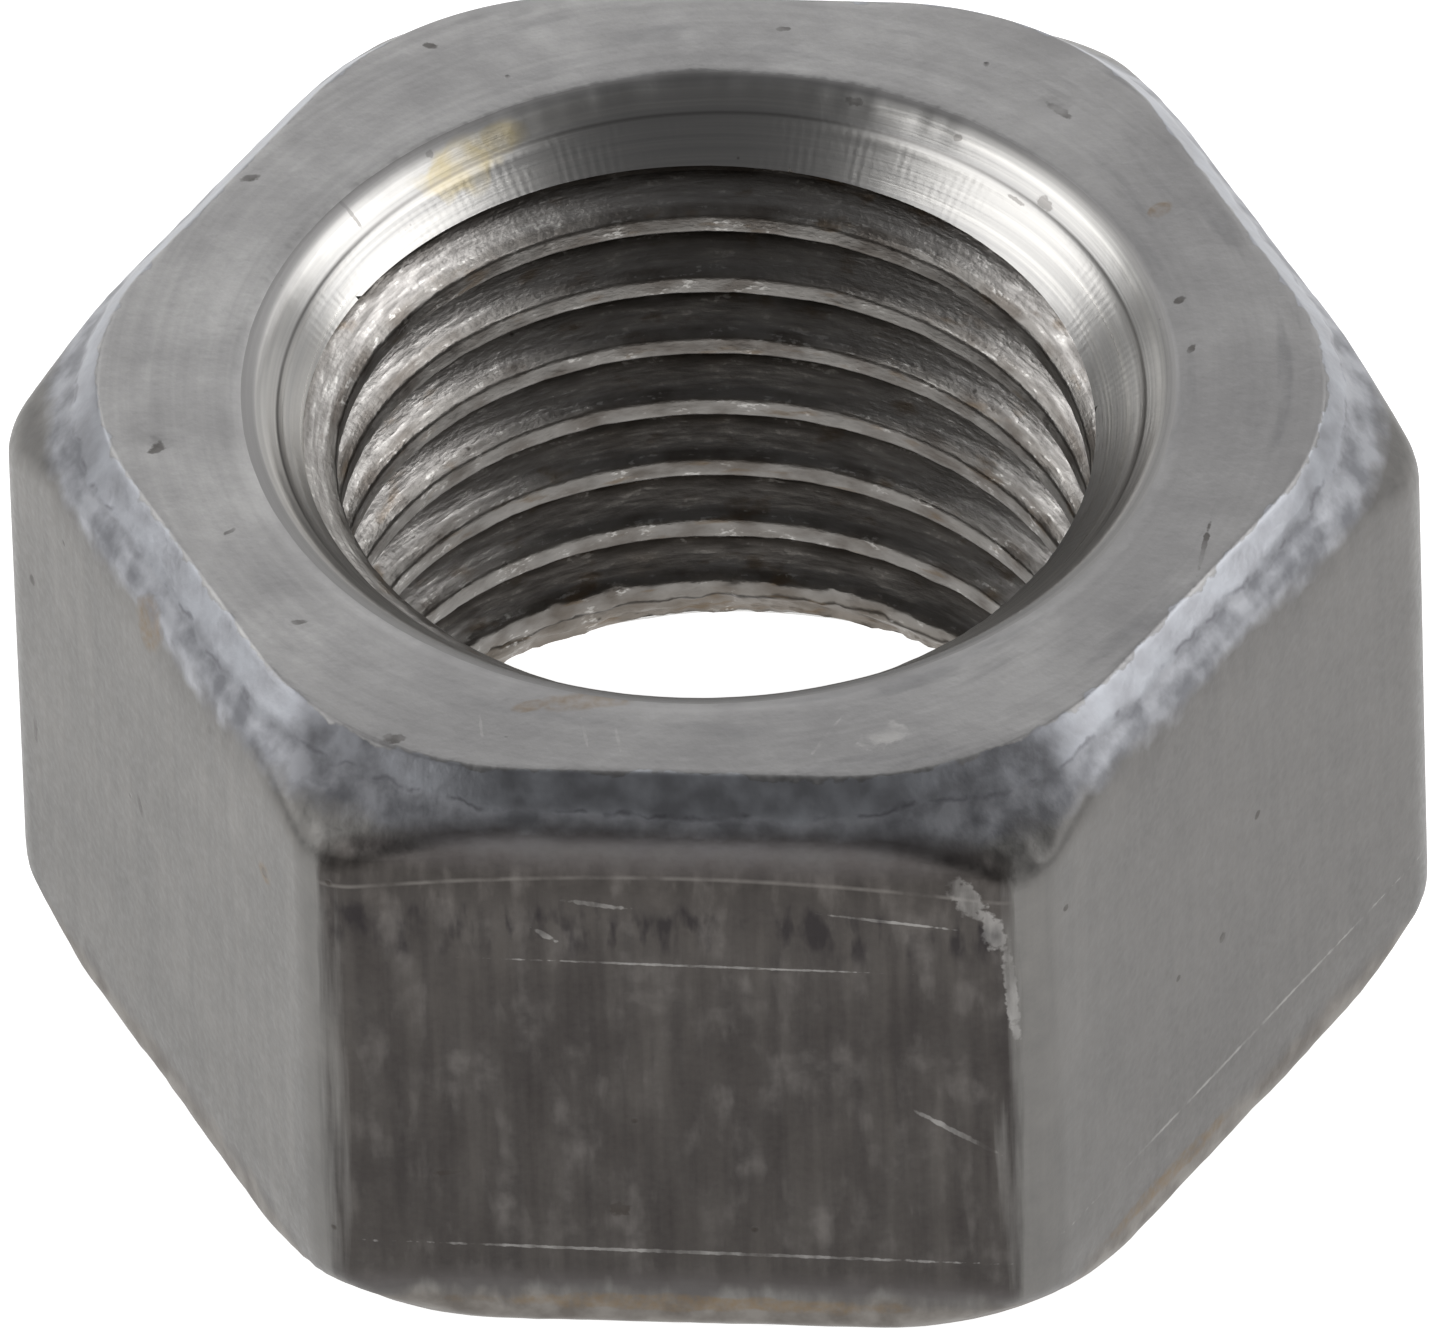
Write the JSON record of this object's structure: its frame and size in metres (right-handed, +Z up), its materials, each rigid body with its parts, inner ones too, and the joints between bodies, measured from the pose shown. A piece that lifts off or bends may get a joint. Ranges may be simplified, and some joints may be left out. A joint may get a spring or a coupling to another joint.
{
  "type": "hex nut",
  "caption": "Plain steel hexagon nut with chamfered corners, countersunk mouths and a right-hand internal thread, for clamping on a bolt or stud.",
  "frame": {"origin": "centre of the lower bearing face, on the thread axis", "axes": "+Z up along the thread axis, one pair of corners on -X and +X, one pair of wrench flats facing -Y and +Y"},
  "size_m": [0.0216, 0.019, 0.0111],
  "materials": {
    "steel": "plain cold-formed steel, dull grey with darker forged skin"
  },
  "bodies": {
    "root": {"hex_nut": "steel"}
  },
  "joints": []
}
